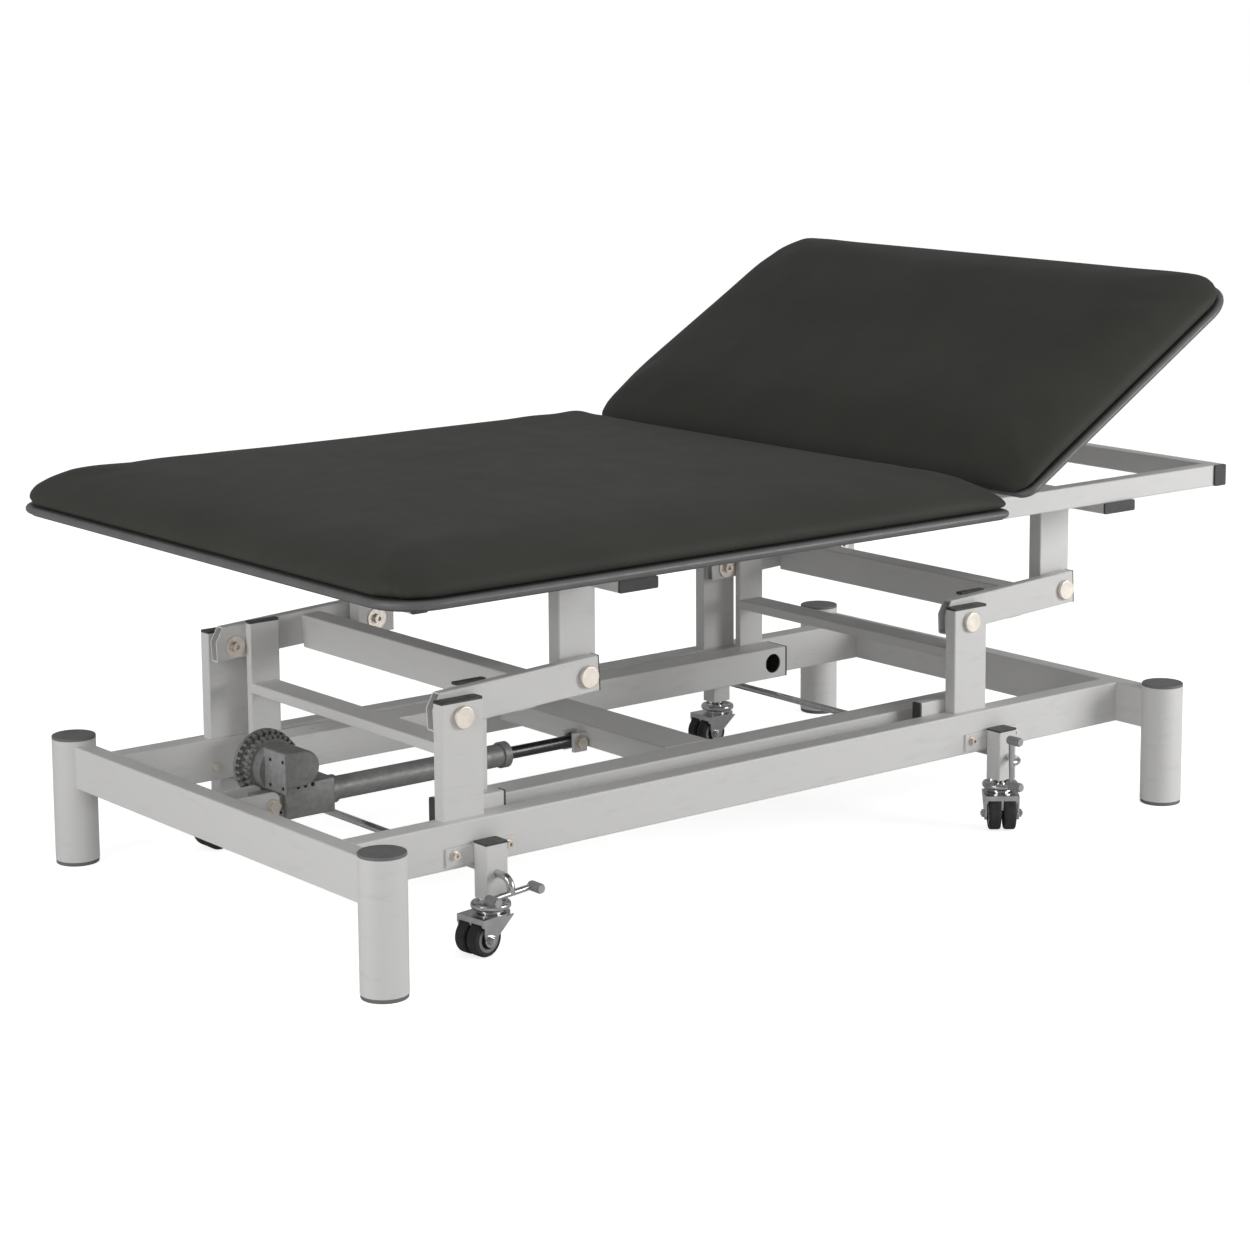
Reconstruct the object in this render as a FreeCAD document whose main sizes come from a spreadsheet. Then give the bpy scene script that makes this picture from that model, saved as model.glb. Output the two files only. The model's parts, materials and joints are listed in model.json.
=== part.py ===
import FreeCAD, Part
import os

os.makedirs("parts", exist_ok=True)
doc = FreeCAD.newDocument("bobath_table")
dims = doc.addObject("Spreadsheet::Sheet", "dims")

# driving sizes in millimetres, measured from the photo at the scale of a 1200 mm wide top
sizes = {
    # the frame's origin is under the middle of the whole outline, not of the base
    "shift_x": -85,
    # base frame
    "post_x": 872, "post_y": 478, "post_dia": 76.1, "post_wall": 3, "post_top": 223,
    "foot_high": 7, "cap_high": 5, "beam_low": 139, "beam_high": 75, "beam_out": 888,
    "beam_wide": 35, "rail_out": 380, "rail_wide": 40, "tube_wall": 3, "edge_rad": 3,
    # uprights with the main pivots
    "pivot_foot_x": -640, "pivot_pitch": 1122, "pivot_z": 378, "upright_wide": 80,
    "upright_thick": 25, "upright_out": 365, "upright_top": 402, "plug_high": 4,
    "thin_wall": 2.5, "pin_dia": 20, "run_fit": 0.05, "pin_head_dia": 37, "pin_head_high": 7,
    "washer_dia": 38, "washer_thick": 2.5, "screw_dia": 17, "screw_high": 7, "socket_dia": 8,
    "plug_deep": 14, "plug_gap": 0.2,
    # swing arms and cross tubes, in the tilted frame of the arm
    "arm_tilt": 3, "arm_out": 337, "arm_thick": 20, "arm_high": 60, "arm_rise": 8,
    "arm_back": 36, "arm_len": 272, "arm_front": 22, "arm_pivot_up": 5.7,
    "arm_cut_long": 16, "arm_cut_high": 24, "cross_start": 140, "cross_long": 40,
    "cross_high": 60, "cross_drop": 29,
    # lever frames under the arms
    "lever_dx": 55, "lever_wide": 60, "lever_shift": -3, "lever_thick": 15, "lever_top": 417,
    "lever_low": 164, "lever_pin_z": 190, "lever_bar_top": 312, "lever_bar_high": 19,
    # push bars and their cross beam
    "bar_in": 240, "bar_wide": 60, "bar_low": 160, "bar_high": 60, "bar_end": 32,
    "bar_hole_dia": 38, "lever_pin_dia": 14, "lever_head_dia": 26, "lever_head_high": 16,
    "beam_x": -127, "beam_long": 98, "beam_deep": 40, "drain_dia": 8,
    # spindle actuator
    "eye_x": -142, "eye_z": 190, "eye_rad": 13, "eye_wide": 20, "eye_pin_dia": 12,
    "ear_thick": 8, "ear_gap": 1, "ear_high": 34, "rod_dia": 22, "rod_end_x": -160,
    "rod_tail_x": -500, "tube_dia": 40, "tube_bore": 31, "tube_front_x": -306,
    "tube_rear_x": -648, "collar_dia": 46, "collar_long": 14, "neck_dia": 48,
    "gear_x": -762, "gear_long": 76, "gear_wide": 62, "gear_low": 160, "gear_high": 60,
    "motor_y": -6, "motor_z": 236, "motor_dia": 76, "motor_x": -764, "motor_long": 62,
    "cover_dia": 74, "cover_thick": 4, "drum_x": -737, "drum_z": 235, "drum_dia": 114,
    "drum_core": 92, "drum_y": 42, "drum_wide": 32, "fin_thick": 4.2, "fin_count": 30,
    "lug_long": 37, "lug_wide": 48, "lug_high": 28, "rear_x": -785,
    "bracket_ear": 6, "bracket_half": 31, "bracket_front_x": -773, "bracket_low": 168,
    "bracket_high": 44, "rear_bolt_dia": 12, "hex_wide": 19, "hex_high": 7,
    # top frame
    "top_rail_out": 430, "top_rail_wide": 30, "top_rail_low": 572, "top_rail_high": 40,
    "top_foot_x": -780, "top_head_x": 1088, "low_foot_x": -378, "low_head_x": 755,
    "low_wide": 80, "low_high": 20, "hanger_out": 310, "hanger_thick": 30,
    "hanger_wide": 76, "hanger_low": 26, "hanger_pin_dia": 20,
    # boards, trims and pads
    "seat_foot_x": -918, "seat_head_x": 352, "half_wide": 600, "trim_thick": 10, "trim_nose": 6.5,
    "trim_low": 612, "trim_high": 21, "board_thick": 21, "corner_rad": 85,
    "hinge_rad": 26, "pad_inset": 6, "pad_hinge_rad": 60, "pad_thick": 54, "pad_round": 40,
    "hinge_x": 350, "hinge_z": 603.5, "back_tilt": 30.8, "back_start": 50, "back_long": 679,
    "back_rise": 8.8, "strut_out": 397, "strut_wide": 28, "strut_thick": 12,
    "strut_long": 600, "strut_nose": 2.2, "knuckle_dia": 16, "hinge_pin_dia": 10,
    # castor lifting gear
    "castor_foot_x": -615, "castor_head_x": 527, "castor_y": 399, "house_wide": 43,
    "house_deep": 34, "house_low": 89, "house_top": 178, "plate_long": 130,
    "plate_high": 30, "plate_low": 146, "plate_thick": 4, "plate_shift": -8,
    "plate_bolt_pitch": 104, "plate_bolt_shift": -5, "plate_bolt_z": 163, "bolt_washer_dia": 18, "bolt_head_dia": 12, "stem_dia": 22,
    "stem_top": 115, "stem_room": 118, "ring_dia": 65, "ring_top": 82, "ring_high": 11,
    "ring_dish_dia": 47, "ring_dish_deep": 2.5, "neck_top": 70.6, "neck_wide": 48,
    "neck_low_dia": 38, "fork_top": 65, "fork_plate": 4, "fork_skirt": 13, "wheel_rad": 29.5,
    "wheel_wide": 22, "wheel_gap": 5, "wheel_bottom": 0.5, "trail": 29, "cheek_thick": 3.5,
    "cheek_in": 27.5, "cheek_wide": 24, "axle_dia": 8, "axle_half": 38, "nut_wide": 13,
    "hub_dia": 37, "hub_deep": 2.5, "turn_near_foot": 8, "turn_near_head": 51,
    # pedals
    "shaft_z": 131, "shaft_dia": 13, "shaft_far_y": 404, "shaft_near_y": -434,
    "bend_rad": 18, "tread_bar_drop": 25, "tread_bar_half": 42, "tread_bar_dia": 10,
    "grip_dia": 13.5, "grip_long": 30, "pedal_foot_turn": -5, "pedal_head_turn": 88,
    # stub tubes on the inner face of the near side rail
    "stub_foot_x": -644, "stub_head_x": 385, "stub_long": 100, "stub_low": 176,
    "stub_high": 62, "stub_thick": 20, "stub_gap": 1,
}
for row, (word, number) in enumerate(sizes.items(), 1):
    dims.set("A%d" % row, word)
    dims.set("B%d" % row, str(number))
    dims.setAlias("B%d" % row, word)
doc.recompute()

count = {"n": 0}


def fresh(kind):
    count["n"] += 1
    return doc.addObject(kind, "p%d" % count["n"])


def name_of(term):
    # every plain word in a size expression is an alias of the sheet
    out = ""
    word = ""
    for ch in str(term) + " ":
        if ch.isalnum() or ch in "_.":
            word += ch
            continue
        if word and word in sizes:
            out += "dims." + word
        else:
            out += word
        word = ""
        out += ch
    return out.strip()


def bind(obj, prop, term):
    obj.setExpression(prop, name_of(term))


def put(obj, x, y, z):
    bind(obj, "Placement.Base.x", x)
    bind(obj, "Placement.Base.y", y)
    bind(obj, "Placement.Base.z", z)


def box(x, y, z, dx, dy, dz):
    obj = fresh("Part::Box")
    bind(obj, "Length", dx)
    bind(obj, "Width", dy)
    bind(obj, "Height", dz)
    put(obj, x, y, z)
    return obj


turns = {"z": (0, 0, 1, 0), "x": (0, 1, 0, 90), "y": (1, 0, 0, -90), "-y": (1, 0, 0, 90)}


def cyl(axis, x, y, z, dia, length):
    obj = fresh("Part::Cylinder")
    bind(obj, "Radius", "(%s) / 2" % dia)
    bind(obj, "Height", length)
    ax, ay, az, deg = turns[axis]
    obj.Placement.Rotation = FreeCAD.Rotation(FreeCAD.Vector(ax, ay, az), deg)
    put(obj, x, y, z)
    return obj


def prism(axis, x, y, z, across, length):
    # hexagonal bolt head or nut, size given across the flats
    obj = fresh("Part::Prism")
    obj.Polygon = 6
    bind(obj, "Circumradius", "(%s) / 1.7320508" % across)
    bind(obj, "Height", length)
    ax, ay, az, deg = turns[axis]
    obj.Placement.Rotation = FreeCAD.Rotation(FreeCAD.Vector(ax, ay, az), deg)
    put(obj, x, y, z)
    return obj


def fuse(*items):
    if len(items) == 1:
        return items[0]
    obj = fresh("Part::MultiFuse")
    obj.Shapes = list(items)
    obj.Refine = True
    return obj


def cut(base, *tools):
    obj = fresh("Part::Cut")
    obj.Base = base
    obj.Tool = fuse(*tools)
    obj.Refine = True
    return obj


def group(*items):
    # separate solids of one node
    if len(items) == 1:
        return items[0]
    obj = fresh("Part::Compound")
    obj.Links = list(items)
    return obj


places = {}


def seat(obj, x, y, z, axis=(0, 0, 1), turn="0"):
    # sets a finished piece in its place, turned about one axis
    places[obj.Name] = x
    obj.Placement.Rotation = FreeCAD.Rotation(FreeCAD.Vector(*axis), 1)
    bind(obj, "Placement.Rotation.Angle", turn)
    put(obj, x, y, z)
    return obj


def rounded(base, radius, test):
    # rounds the edges whose middle point and direction pass the test
    doc.recompute()
    obj = fresh("Part::Fillet")
    obj.Base = base
    picked = []
    for number, edge in enumerate(base.Shape.Edges, 1):
        mid = edge.valueAt((edge.FirstParameter + edge.LastParameter) / 2)
        run = edge.Vertexes[-1].Point.sub(edge.Vertexes[0].Point)
        size = radius(mid) if callable(radius) else radius
        if test(mid, run):
            picked.append((number, size, size))
    obj.Edges = picked
    return obj


def tube(run, x, y, z, dx, dy, dz):
    # rectangular tube body, its long outer edges rounded as rolled steel is
    body = box(x, y, z, dx, dy, dz)
    return rounded(body, float(sizes["edge_rad"]), lambda mid, way: abs(getattr(way, run)) > 0.9 * way.Length)


def soft(base, radius, keep=None):
    # rounds the closed circular edges, or those of them that the test keeps
    return rounded(base, radius, lambda mid, way: way.Length < 0.01 and (keep is None or keep(mid)))


nodes = {}


def node(label, obj):
    obj.Label = label
    bind(obj, "Placement.Base.x", "(%s) + shift_x" % places.get(obj.Name, "0"))
    nodes[label] = obj
    return obj


# posts, feet and caps
post_sites = [("-post_x", "post_y"), ("-post_x", "-post_y"), ("post_x", "-post_y"), ("post_x", "post_y")]
posts = []
caps = []
feet = []
for px, py in post_sites:
    shell = cyl("z", px, py, "foot_high", "post_dia", "post_top - foot_high")
    hollow = cyl("z", px, py, "foot_high", "post_dia - 2 * post_wall", "post_top - foot_high")
    posts.append(cut(shell, hollow))
    lid = cyl("z", px, py, "post_top", "post_dia", "cap_high")
    lid = soft(lid, 1.6, lambda mid: mid.z > sizes["post_top"] + 1)
    stem = cyl("z", px, py, "post_top - plug_deep", "post_dia - 2 * post_wall - 2 * plug_gap", "plug_deep")
    caps.append(fuse(lid, stem))
    sole = soft(cyl("z", px, py, "0", "post_dia - 1.5", "foot_high"), 1.5, lambda mid: mid.z < 1)
    heel = cyl("z", px, py, "foot_high", "post_dia - 2 * post_wall - 2 * plug_gap", "plug_deep")
    feet.append(fuse(sole, heel))
node("corner_posts", group(*posts))
node("post_caps", group(*caps))
node("post_feet", group(*feet))

# end beams, coped round the posts
for label, x0 in (("end_beam_foot", "-beam_out"), ("end_beam_head", "beam_out - beam_wide")):
    body = tube("y", x0, "-post_y", "beam_low", "beam_wide", "2 * post_y", "beam_high")
    core = box(x0 + " + tube_wall", "-post_y", "beam_low + tube_wall",
               "beam_wide - 2 * tube_wall", "2 * post_y", "beam_high - 2 * tube_wall")
    sign = "-post_x" if label == "end_beam_foot" else "post_x"
    bites = [cyl("z", sign, y, "beam_low - 1", "post_dia", "beam_high + 2") for y in ("-post_y", "post_y")]
    node(label, cut(body, core, *bites))

# side rails between the end beams
for label, y0 in (("side_rail_near", "-rail_out"), ("side_rail_far", "rail_out - rail_wide")):
    body = tube("x", "beam_wide - beam_out", y0, "beam_low", "2 * (beam_out - beam_wide)", "rail_wide",
                "beam_high")
    core = box("beam_wide - beam_out", y0 + " + tube_wall", "beam_low + tube_wall",
               "2 * (beam_out - beam_wide)", "rail_wide - 2 * tube_wall", "beam_high - 2 * tube_wall")
    node(label, cut(body, core))

# uprights standing on the side rails, with the bore of the main pivot
uprights = []
plugs = []
for x in ("pivot_foot_x", "pivot_foot_x + pivot_pitch"):
    for y0 in ("-upright_out", "upright_out - upright_thick"):
        low = "beam_low + beam_high"
        body = tube("z", x + " - upright_wide / 2", y0, low, "upright_wide", "upright_thick",
                    "upright_top - (%s)" % low)
        core = box(x + " - upright_wide / 2 + thin_wall", y0 + " + thin_wall", low,
                   "upright_wide - 2 * thin_wall", "upright_thick - 2 * thin_wall", "upright_top - (%s)" % low)
        bore = cyl("y", x, y0 + " - 1", "pivot_z", "pin_dia + 2 * run_fit", "upright_thick + 2")
        uprights.append(cut(body, core, bore))
        lid = tube("z", x + " - upright_wide / 2", y0, "upright_top", "upright_wide", "upright_thick",
                   "plug_high")
        tongue = box(x + " - upright_wide / 2 + thin_wall + plug_gap", y0 + " + thin_wall + plug_gap",
                     "upright_top - 8", "upright_wide - 2 * thin_wall - 2 * plug_gap",
                     "upright_thick - 2 * thin_wall - 2 * plug_gap", "8")
        plugs.append(fuse(lid, tongue))
node("base_uprights", group(*uprights))

# short stub tubes on the inner face of the near side rail
stubs = []
for x in ("stub_foot_x", "stub_head_x"):
    y0 = "rail_wide - rail_out"
    body = tube("x", x, y0, "stub_low", "stub_long", "stub_thick", "stub_high")
    core = box(x, y0 + " + thin_wall", "stub_low + thin_wall", "stub_long",
               "stub_thick - 2 * thin_wall", "stub_high - 2 * thin_wall")
    stubs.append(cut(body, core))
    for x1 in (x + " - plug_high", x + " + stub_long"):
        plugs.append(tube("x", x1, y0, "stub_low", "plug_high", "stub_thick", "stub_high"))
node("rail_stubs", group(*stubs))

# main pivot pins with flat round heads outside, washer and socket screw inside
bolts = []
for x in ("pivot_foot_x", "pivot_foot_x + pivot_pitch"):
    for side in ("near", "far"):
        sign = "-" if side == "near" else ""
        away = "-y" if side == "near" else "y"
        back = "y" if side == "near" else "-y"
        inner = "(arm_out - arm_thick)"
        shank = cyl(away, x, sign + inner, "pivot_z", "pin_dia", "upright_out - arm_out + arm_thick")
        head = cyl(away, x, sign + "upright_out", "pivot_z", "pin_head_dia", "pin_head_high")
        head = soft(head, 1.5, lambda mid: abs(mid.y) > sizes["upright_out"] + 1)
        spacer = cyl(away, x, sign + "(arm_out + 0.3)", "pivot_z", "washer_dia - 6",
                     "upright_out - upright_thick - arm_out - 0.3")
        washer = cyl(back, x, sign + "(arm_out - arm_thick - 0.3)", "pivot_z", "washer_dia", "washer_thick")
        neck = cyl(back, x, sign + inner, "pivot_z", "pin_dia", "0.3")
        screw = cyl(back, x, sign + "(arm_out - arm_thick - 0.3 - washer_thick)", "pivot_z", "screw_dia", "screw_high")
        socket = cyl(back, x, sign + "(arm_out - arm_thick - 0.3 - washer_thick - screw_high + 4)",
                     "pivot_z", "socket_dia", "5")
        bolts.append(cut(fuse(shank, head, spacer, washer, neck, screw), socket))

# castor housings on mounting plates, with the bores of stem and pedal shaft
houses = []
for x in ("castor_foot_x", "castor_head_x"):
    for side in ("near", "far"):
        near = side == "near"
        y_plate = "-rail_out - plate_thick" if near else "rail_out"
        y_house = "-rail_out - plate_thick - house_deep" if near else "rail_out + plate_thick"
        plate = box(x + " - plate_long / 2 + plate_shift", y_plate, "plate_low", "plate_long", "plate_thick",
                    "plate_high")
        body = tube("z", x + " - house_wide / 2", y_house, "house_low", "house_wide", "house_deep",
                    "house_top - house_low")
        bore = cyl("z", x, ("-" if near else "") + "castor_y", "house_low - 1", "stem_dia + 2 * run_fit",
                   "stem_room - house_low + 1")
        cross = cyl("y", x, y_house + " - 1", "shaft_z", "shaft_dia + 2 * run_fit", "house_deep + 2")
        houses.append(cut(fuse(plate, body), bore, cross))
        plugs.append(tube("z", x + " - house_wide / 2 - 0.5", y_house + " - 0.5" if near else y_house,
                          "house_top", "house_wide + 1", "house_deep + 0.5", "3"))
        away = "-y" if near else "y"
        face = "-(rail_out + plate_thick)" if near else "rail_out + plate_thick"
        inside = "-(rail_out - rail_wide)" if near else "rail_out - rail_wide"
        for step in ("-plate_bolt_pitch / 2", "+ plate_bolt_pitch / 2"):
            at = x + step + " + plate_bolt_shift"
            disc = cyl(away, at, face, "plate_bolt_z", "bolt_washer_dia", "2")
            tip = face + (" - 2" if near else " + 2")
            head = cyl(away, at, tip, "plate_bolt_z", "bolt_head_dia", "5")
            socket = prism(away, at, tip + (" - 2" if near else " + 2"), "plate_bolt_z", "6", "4")
            bolts.append(cut(fuse(disc, head), socket))
            bolts.append(prism("y" if near else "-y", at, inside, "plate_bolt_z", "bolt_head_dia + 1", "6"))
node("castor_housings", group(*houses))
node("base_plugs", group(*plugs))

# rear bracket of the actuator, two ears welded to the foot end beam
ears = []
for y0 in ("-bracket_half", "bracket_half - bracket_ear"):
    ear = box("beam_wide - beam_out", y0, "bracket_low", "bracket_front_x + beam_out - beam_wide",
              "bracket_ear", "bracket_high")
    front = sizes["bracket_front_x"]
    ear = rounded(ear, 11.5, lambda mid, way: abs(way.y) > 0.9 * way.Length and abs(mid.x - front) < 0.1)
    hole = cyl("y", "rear_x", y0 + " - 1", "eye_z", "rear_bolt_dia + 0.2", "bracket_ear + 2")
    ears.append(cut(ear, hole))
node("actuator_bracket", group(*ears))
for side in ("near", "far"):
    away = "-y" if side == "near" else "y"
    sign = "-" if side == "near" else ""
    stub = cyl(away, "rear_x", sign + "(bracket_half - bracket_ear)", "eye_z", "rear_bolt_dia", "bracket_ear")
    disc = cyl(away, "rear_x", sign + "bracket_half", "eye_z", "rear_bolt_dia * 2", "2")
    head = prism(away, "rear_x", sign + "(bracket_half + 2)", "eye_z", "hex_wide", "hex_high")
    bolts.append(fuse(stub, disc, head))
node("base_bolts", group(*bolts))


# one swing frame at each end: two arms, cross tube, lever frame and plugs
def swing(end, px):
    arms = []
    ends = []
    for side in ("near", "far"):
        y0 = "-arm_out" if side == "near" else "arm_out - arm_thick"
        low = "arm_rise - arm_high / 2"
        body = tube("x", "-arm_back", y0, low, "arm_back + arm_len + arm_front", "arm_thick", "arm_high")
        core = box("-arm_back", y0 + " + thin_wall", low + " + thin_wall", "arm_back + arm_len + arm_front",
                   "arm_thick - 2 * thin_wall", "arm_high - 2 * thin_wall")
        bore = cyl("y", "0", y0 + " - 1", "0", "pin_dia + 2 * run_fit", "arm_thick + 2")
        bore2 = cyl("y", "arm_len", y0 + " - 1", "arm_pivot_up", "hanger_pin_dia + 2 * run_fit", "arm_thick + 2")
        corner = box("-arm_back - 30", y0 + " - 1", "arm_rise + arm_high / 2 - arm_cut_high",
                     "30", "arm_thick + 2", "60")
        corner.Placement.Rotation = FreeCAD.Rotation(FreeCAD.Vector(0, 1, 0), 33)
        put(corner, "-arm_back - 25.2", y0 + " - 1", "arm_rise + arm_high / 2 - arm_cut_high + 16.3")
        arm = cut(body, core, bore, bore2, corner)
        arms.append(seat(arm, px, "0", "pivot_z", (0, 1, 0), "-arm_tilt"))
        lid = box("arm_len + arm_front", y0, low, "2.5", "arm_thick", "arm_high")
        along = "(arm_len + arm_front)"
        lid_x = px + " + %s * cos(arm_tilt * 1 deg) - (%s) * sin(arm_tilt * 1 deg)" % (along, low)
        lid_z = "pivot_z + %s * sin(arm_tilt * 1 deg) + (%s) * cos(arm_tilt * 1 deg)" % (along, low)
        ends.append(seat(lid, lid_x, y0, lid_z, (0, 1, 0), "-arm_tilt"))
    node("swing_arms_" + end, group(*arms))
    inner = "(arm_out - arm_thick)"
    body = tube("y", "cross_start", "-" + inner, "-cross_drop", "cross_long", "2 * " + inner, "cross_high")
    core = box("cross_start + thin_wall", "-" + inner, "thin_wall - cross_drop",
               "cross_long - 2 * thin_wall", "2 * " + inner, "cross_high - 2 * thin_wall")
    node("cross_tube_" + end, seat(cut(body, core), px, "0", "pivot_z", (0, 1, 0), "-arm_tilt"))
    lx = px + " + lever_dx"
    legs = []
    for side in ("near", "far"):
        y0 = "-" + inner if side == "near" else inner + " - lever_thick"
        leg = tube("z", lx + " - lever_wide / 2 + lever_shift", y0, "lever_low", "lever_wide", "lever_thick",
                   "lever_top - lever_low")
        bore = cyl("y", lx, y0 + " - 1", "lever_pin_z", "lever_pin_dia + 2 * run_fit", "lever_thick + 2")
        legs.append(cut(leg, bore))
        ends.append(tube("z", lx + " - lever_wide / 2 + lever_shift", y0, "lever_top", "lever_wide",
                         "lever_thick", "plug_high"))
    half = "(arm_out - arm_thick - lever_thick)"
    bar = tube("y", lx + " - lever_wide / 2 + lever_shift", "-" + half, "lever_bar_top - lever_bar_high",
               "lever_wide - 6", "2 * " + half, "lever_bar_high")
    node("lever_frame_" + end, fuse(*legs, bar))
    node("swing_plugs_" + end, group(*ends))


swing("foot", "pivot_foot_x")
swing("head", "pivot_foot_x + pivot_pitch")

# push bars with the access holes of the lever bolts
lever_foot = "pivot_foot_x + lever_dx"
lever_head = "pivot_foot_x + pivot_pitch + lever_dx"
lids = []
pins = []
for label, near in (("push_bar_near", True), ("push_bar_far", False)):
    y0 = "-bar_in - bar_wide" if near else "bar_in"
    body = tube("x", lever_foot + " - bar_end", y0, "bar_low", "pivot_pitch + 2 * bar_end", "bar_wide",
                "bar_high")
    core = box(lever_foot + " - bar_end", y0 + " + tube_wall", "bar_low + tube_wall",
               "pivot_pitch + 2 * bar_end", "bar_wide - 2 * tube_wall", "bar_high - 2 * tube_wall")
    holes = []
    for x in (lever_foot, lever_head):
        y_in = "-bar_in - tube_wall - 1" if near else "bar_in - 1"
        y_out = "-bar_in - bar_wide - 1" if near else "bar_in + bar_wide - tube_wall - 1"
        holes.append(cyl("y", x, y_in, "lever_pin_z", "bar_hole_dia", "tube_wall + 2"))
        holes.append(cyl("y", x, y_out, "lever_pin_z", "lever_pin_dia", "tube_wall + 2"))
        holes.append(cyl("z", x + " - 70" if x == lever_head else x + " + 70", y0 + " + bar_wide / 2",
                         "bar_low + bar_high - tube_wall - 1", "drain_dia", "tube_wall + 2"))
        sign = "-" if near else ""
        away = "-y" if near else "y"
        head = cyl(away, x, sign + "(bar_in + bar_wide - tube_wall - lever_head_high)", "lever_pin_z",
                   "lever_head_dia", "lever_head_high")
        dip = cyl(away, x, sign + "(bar_in + bar_wide - tube_wall - lever_head_high - 1)", "lever_pin_z", "11", "9")
        shank = cyl(away, x, sign + "(bar_in + bar_wide - tube_wall)", "lever_pin_z", "lever_pin_dia",
                    "arm_out - arm_thick - bar_in - bar_wide + tube_wall - 1")
        spacer = cyl(away, x, sign + "(bar_in + bar_wide)", "lever_pin_z", "lever_head_dia",
                     "arm_out - arm_thick - lever_thick - bar_in - bar_wide - 0.3")
        pins.append(cut(fuse(head, shank, spacer), dip))
    node(label, cut(body, core, *holes))
    for x1 in (lever_foot + " - bar_end - plug_high", lever_head + " + bar_end"):
        lids.append(tube("x", x1, y0, "bar_low", "plug_high", "bar_wide", "bar_high"))
node("push_plugs", group(*lids))
body = tube("y", "beam_x", "-bar_in", "bar_low + bar_high - beam_deep", "beam_long", "2 * bar_in", "beam_deep")
core = box("beam_x + tube_wall", "-bar_in", "bar_low + bar_high - beam_deep + tube_wall",
           "beam_long - 2 * tube_wall", "2 * bar_in", "beam_deep - 2 * tube_wall")
clevis = []
for y0 in ("-eye_wide / 2 - ear_gap - ear_thick", "eye_wide / 2 + ear_gap"):
    ear = box("eye_x - eye_rad", y0, "eye_z - ear_high / 2", "beam_x - eye_x + eye_rad", "ear_thick", "ear_high")
    hole = cyl("y", "eye_x", y0 + " - 1", "eye_z", "eye_pin_dia", "ear_thick + 2")
    clevis.append(cut(ear, hole))
node("push_cross_beam", fuse(cut(body, core), *clevis))
reach = "(eye_wide / 2 + ear_gap + ear_thick)"
pin = cyl("y", "eye_x", "-" + reach, "eye_z", "eye_pin_dia", "2 * " + reach)
disc = cyl("-y", "eye_x", "-" + reach, "eye_z", "eye_pin_dia * 2", "2")
head = prism("-y", "eye_x", "-" + reach + " - 2", "eye_z", "hex_wide", "hex_high")
nut = prism("y", "eye_x", reach, "eye_z", "hex_wide", "hex_high")
pins.append(fuse(pin, disc, head, nut))
node("push_bolts", group(*pins))

# spindle rod with its eye
rod = cyl("x", "rod_tail_x", "0", "eye_z", "rod_dia", "eye_x - rod_tail_x - eye_rad / 2")
eye = cyl("y", "eye_x", "-eye_wide / 2", "eye_z", "eye_rad * 2", "eye_wide")
bore = cyl("y", "eye_x", "-eye_wide / 2 - 1", "eye_z", "eye_pin_dia + 2 * run_fit", "eye_wide + 2")
node("actuator_rod", cut(fuse(rod, eye), bore))

# outer tube of the actuator with its front collar
shell = cyl("x", "tube_rear_x", "0", "eye_z", "tube_dia", "tube_front_x - tube_rear_x")
front = cyl("x", "tube_front_x", "0", "eye_z", "collar_dia", "collar_long")
hollow = cyl("x", "tube_rear_x + 20", "0", "eye_z", "tube_bore", "tube_front_x - tube_rear_x - 20")
guide = cyl("x", "tube_front_x - 1", "0", "eye_z", "rod_dia + 2 * run_fit", "collar_long + 2")
node("actuator_tube", cut(fuse(shell, front), hollow, guide))

# gearbox and motor housing
block = box("gear_x", "-gear_wide / 2", "gear_low", "gear_long", "gear_wide", "gear_high")
block = rounded(block, 4.0, lambda mid, way: True)
neck = cyl("x", "gear_x + gear_long", "0", "eye_z", "neck_dia", "tube_rear_x - gear_x - gear_long")
motor = cyl("x", "motor_x", "motor_y", "motor_z", "motor_dia", "motor_long")
motor_end = sizes["motor_x"] + sizes["motor_long"]
motor = soft(motor, 9.0, lambda mid: abs(mid.x - motor_end) < 0.1)
cover = cyl("x", "motor_x - cover_thick", "motor_y", "motor_z", "cover_dia", "cover_thick")
lug = box("gear_x - lug_long", "-lug_wide / 2", "eye_z - lug_high / 2", "lug_long", "lug_wide", "lug_high")
dots = [cyl("-y", "gear_x + gear_long - %d" % step, "-gear_wide / 2 + 3", "gear_low + gear_high - 8", "8", "5")
        for step in (12, 26, 40)]
axle = cyl("y", "drum_x", "motor_y", "drum_z", "drum_core - 10", "drum_y - motor_y")
node("actuator_housing", cut(fuse(block, neck, motor, cover, lug, axle), *dots))

# finned motor drum beside the gearbox, its near row of fins a little smaller
core = cyl("y", "0", "0", "0", "drum_core", "drum_wide")
back_ring = soft(cyl("y", "0", "drum_wide - 4", "0", "drum_dia + 2", "6"), 1.5)
fins = []
total = int(float(sizes["fin_count"]))
for y0, tip, half_step in (("0", "drum_dia / 2 - 5", 0.0), ("drum_wide / 2 + 1", "drum_dia / 2", 0.5)):
    for k in range(total):
        turn = (k + half_step) * 360.0 / total
        fin = box("-fin_thick / 2 * sin(%.6f deg)" % turn, y0, "-fin_thick / 2 * cos(%.6f deg)" % turn,
                  tip, "drum_wide / 2 - 3", "fin_thick")
        fin.Placement.Rotation = FreeCAD.Rotation(FreeCAD.Vector(0, 1, 0), turn)
        fins.append(fin)
node("motor_drum", seat(fuse(core, back_ring, *fins), "drum_x", "drum_y", "drum_z"))

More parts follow.
